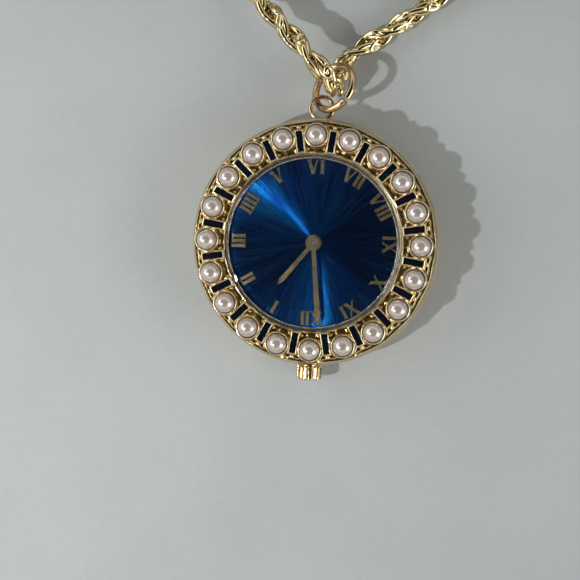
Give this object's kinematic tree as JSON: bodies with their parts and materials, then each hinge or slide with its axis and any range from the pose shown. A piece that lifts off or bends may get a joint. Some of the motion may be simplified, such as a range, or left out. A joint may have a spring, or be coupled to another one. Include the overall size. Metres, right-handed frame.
{
  "type": "pendant watch",
  "caption": "Round pendant watch on a rope chain: gold case, bezel of pearls and dark enamel bars, blue dial with gilt Roman numerals, domed crystal and a hand-wound movement",
  "frame": {"origin": "centre of the case back's flat resting face, with the watch lying on its back", "axes": "+Z out of the dial, +Y towards the pendant loop and the chain, +X to the right of both; the crown is on -Y"},
  "size_m": [0.0401, 0.0889, 0.0088],
  "materials": {
    "gold": "polished gold plate",
    "nickel": "nickel plated, fine brushed",
    "gear_brass": "fine brushed",
    "steel": "polished steel",
    "blue_steel": "heat blued",
    "pearl": "pearl lacquer",
    "enamel": "glossy enamel",
    "acrylic": "clear acrylic",
    "dial_blue": "metallic lacquer, sunburst brushed",
    "numeral_gilt": "polished gilt",
    "ruby": "polished synthetic ruby"
  },
  "bodies": {
    "necklace": {"chain_left_run": "gold", "chain_left_coil": "gold", "chain_right_run": "gold", "chain_right_coil": "gold", "left_end_cap": "gold", "right_end_cap": "gold", "clasp_body": "gold", "clasp_tag": "gold"},
    "clasp_bolt": {"clasp_bolt": "gold"},
    "jump_ring": {"jump_ring": "gold"},
    "head": {"case_body": "gold", "case_back": "gold", "bezel": "gold", "pearls": "pearl", "enamel_bars": "enamel", "crystal": "acrylic", "dial": "dial_blue", "dial_numerals": "numeral_gilt", "main_plate": "nickel", "train_bridge": "nickel", "barrel_bridge": "nickel", "balance_cock": "nickel", "pallet_bridge": "nickel", "jewels": "ruby", "bridge_screws": "steel", "movement_holder": "nickel", "crown_wheel_screw": "steel", "hairspring": "blue_steel", "case_tube": "gold", "pendant_loop": "gold"},
    "minute_hand": {"minute_hand": "numeral_gilt", "cannon_pinion": "steel"},
    "hour_hand": {"hour_hand": "numeral_gilt", "hour_wheel": "gear_brass"},
    "minute_wheel": {"minute_wheel": "gear_brass"},
    "setting_wheel": {"setting_wheel": "steel"},
    "escape_wheel": {"escape_wheel": "steel"},
    "fourth_wheel": {"fourth_wheel": "gear_brass"},
    "third_wheel": {"third_wheel": "gear_brass"},
    "centre_wheel": {"centre_wheel": "gear_brass"},
    "barrel": {"barrel_drum": "gear_brass", "barrel_cover": "gear_brass", "mainspring": "steel"},
    "ratchet": {"ratchet_wheel": "steel", "barrel_arbor": "steel", "ratchet_screw": "steel"},
    "crown_wheel": {"crown_wheel": "steel"},
    "click": {"click": "steel"},
    "pallet_fork": {"pallet_fork": "steel"},
    "balance": {"balance_wheel": "gear_brass", "balance_staff": "steel"},
    "winding_pinion": {"winding_pinion": "steel"},
    "crown": {"crown": "gold", "stem": "steel"},
    "sliding_pinion": {"sliding_pinion": "steel"},
    "setting_lever": {"setting_lever": "steel"},
    "yoke": {"yoke": "steel"}
  },
  "joints": [
    {"name": "head_lift", "type": "hinge", "parent": "necklace", "child": "head", "pos_m": [0, 0.01579, 0.0043], "axis": [-1, 0, 0], "range_deg": [0, 14]},
    {"name": "ring_turn", "type": "hinge", "parent": "necklace", "child": "jump_ring", "pos_m": [0.00128, 0.01826, 0.0043], "axis": [0.5935, -0.309, -0.7431], "continuous": true},
    {"name": "clasp_pull", "type": "hinge", "parent": "necklace", "child": "clasp_bolt", "pos_m": [0.0055, 0.04273, 0.00078], "axis": [0, 0, -1], "range_deg": [0, 52], "stiffness_Nm_per_rad": 0.003},
    {"name": "minute_hand_turn", "type": "hinge", "parent": "head", "child": "minute_hand", "pos_m": [0, 0, 0.00603], "axis": [0, 0, -1], "continuous": true},
    {"name": "hour_hand_turn", "type": "hinge", "parent": "head", "child": "hour_hand", "pos_m": [0, 0, 0.00565], "axis": [0, 0, -1], "continuous": true},
    {"name": "minute_wheel_turn", "type": "hinge", "parent": "head", "child": "minute_wheel", "pos_m": [0, -0.0024, 0.0047], "axis": [0, 0, -1], "continuous": true},
    {"name": "setting_wheel_turn", "type": "hinge", "parent": "head", "child": "setting_wheel", "pos_m": [0, -0.0052, 0.0047], "axis": [0, 0, -1], "continuous": true},
    {"name": "escape_wheel_turn", "type": "hinge", "parent": "head", "child": "escape_wheel", "pos_m": [-0.00535, 0.00043, 0.0024], "axis": [0, 0, -1], "continuous": true},
    {"name": "fourth_wheel_turn", "type": "hinge", "parent": "head", "child": "fourth_wheel", "pos_m": [-0.0037, 0.00329, 0.0024], "axis": [0, 0, -1], "continuous": true},
    {"name": "third_wheel_turn", "type": "hinge", "parent": "head", "child": "third_wheel", "pos_m": [-0.00031, 0.00359, 0.0024], "axis": [0, 0, -1], "continuous": true},
    {"name": "centre_wheel_turn", "type": "hinge", "parent": "head", "child": "centre_wheel", "pos_m": [0, 0, 0.0024], "axis": [0, 0, -1], "continuous": true},
    {"name": "barrel_turn", "type": "hinge", "parent": "head", "child": "barrel", "pos_m": [0.00416, -0.0024, 0.0024], "axis": [0, 0, -1], "continuous": true},
    {"name": "pallet_swing", "type": "hinge", "parent": "head", "child": "pallet_fork", "pos_m": [-0.00564, -0.0016, 0.0024], "axis": [0, 0, -1], "range_deg": [-5, 5]},
    {"name": "balance_swing", "type": "hinge", "parent": "head", "child": "balance", "pos_m": [-0.00452, -0.00378, 0.0024], "axis": [0, 0, -1], "range_deg": [-270, 270], "stiffness_Nm_per_rad": 0.00000003},
    {"name": "crown_turn", "type": "hinge", "parent": "head", "child": "winding_pinion", "pos_m": [0, -0.00668, 0.00225], "axis": [0, 1, 0], "continuous": true},
    {"name": "crown_pull", "type": "slide", "parent": "winding_pinion", "child": "crown", "axis": [0, -1, 0], "range_m": [0, 0.0006]},
    {"name": "clutch_slide", "type": "slide", "parent": "winding_pinion", "child": "sliding_pinion", "axis": [0, 1, 0], "range_m": [0, 0.0006]},
    {"name": "crown_wheel_turn", "type": "hinge", "parent": "head", "child": "crown_wheel", "pos_m": [0, -0.00518, 0.00078], "axis": [0, 0, 1], "continuous": true},
    {"name": "ratchet_turn", "type": "hinge", "parent": "head", "child": "ratchet", "pos_m": [0.00416, -0.0024, 0.00078], "axis": [0, 0, 1], "continuous": true},
    {"name": "click_lift", "type": "hinge", "parent": "head", "child": "click", "pos_m": [0.00478, -0.00681, 0.00078], "axis": [0, 0, 1], "range_deg": [0, 8]},
    {"name": "setting_lever_swing", "type": "hinge", "parent": "head", "child": "setting_lever", "pos_m": [0.0019, -0.00773, 0.00455], "axis": [0, 0, 1], "range_deg": [0, 18.11]},
    {"name": "yoke_swing", "type": "hinge", "parent": "head", "child": "yoke", "pos_m": [-0.003, -0.00615, 0.00455], "axis": [0, 0, 1], "range_deg": [0, 16.79]}
  ],
  "couplings": [
    {"joint": "minute_wheel_turn", "follows": "minute_hand_turn", "ratio": -0.33333},
    {"joint": "hour_hand_turn", "follows": "minute_hand_turn", "ratio": 0.083333},
    {"joint": "setting_wheel_turn", "follows": "minute_hand_turn", "ratio": 0.6},
    {"joint": "fourth_wheel_turn", "follows": "escape_wheel_turn", "ratio": -0.1},
    {"joint": "third_wheel_turn", "follows": "escape_wheel_turn", "ratio": 0.013333},
    {"joint": "centre_wheel_turn", "follows": "escape_wheel_turn", "ratio": -0.0016667},
    {"joint": "barrel_turn", "follows": "escape_wheel_turn", "ratio": 0.0002381},
    {"joint": "crown_wheel_turn", "follows": "crown_turn", "ratio": -0.79167},
    {"joint": "ratchet_turn", "follows": "crown_turn", "ratio": 0.33929},
    {"joint": "clutch_slide", "follows": "crown_pull", "ratio": 1},
    {"joint": "setting_lever_swing", "follows": "crown_pull", "rad_per_m": 526.3},
    {"joint": "yoke_swing", "follows": "crown_pull", "rad_per_m": 487.79}
  ]
}
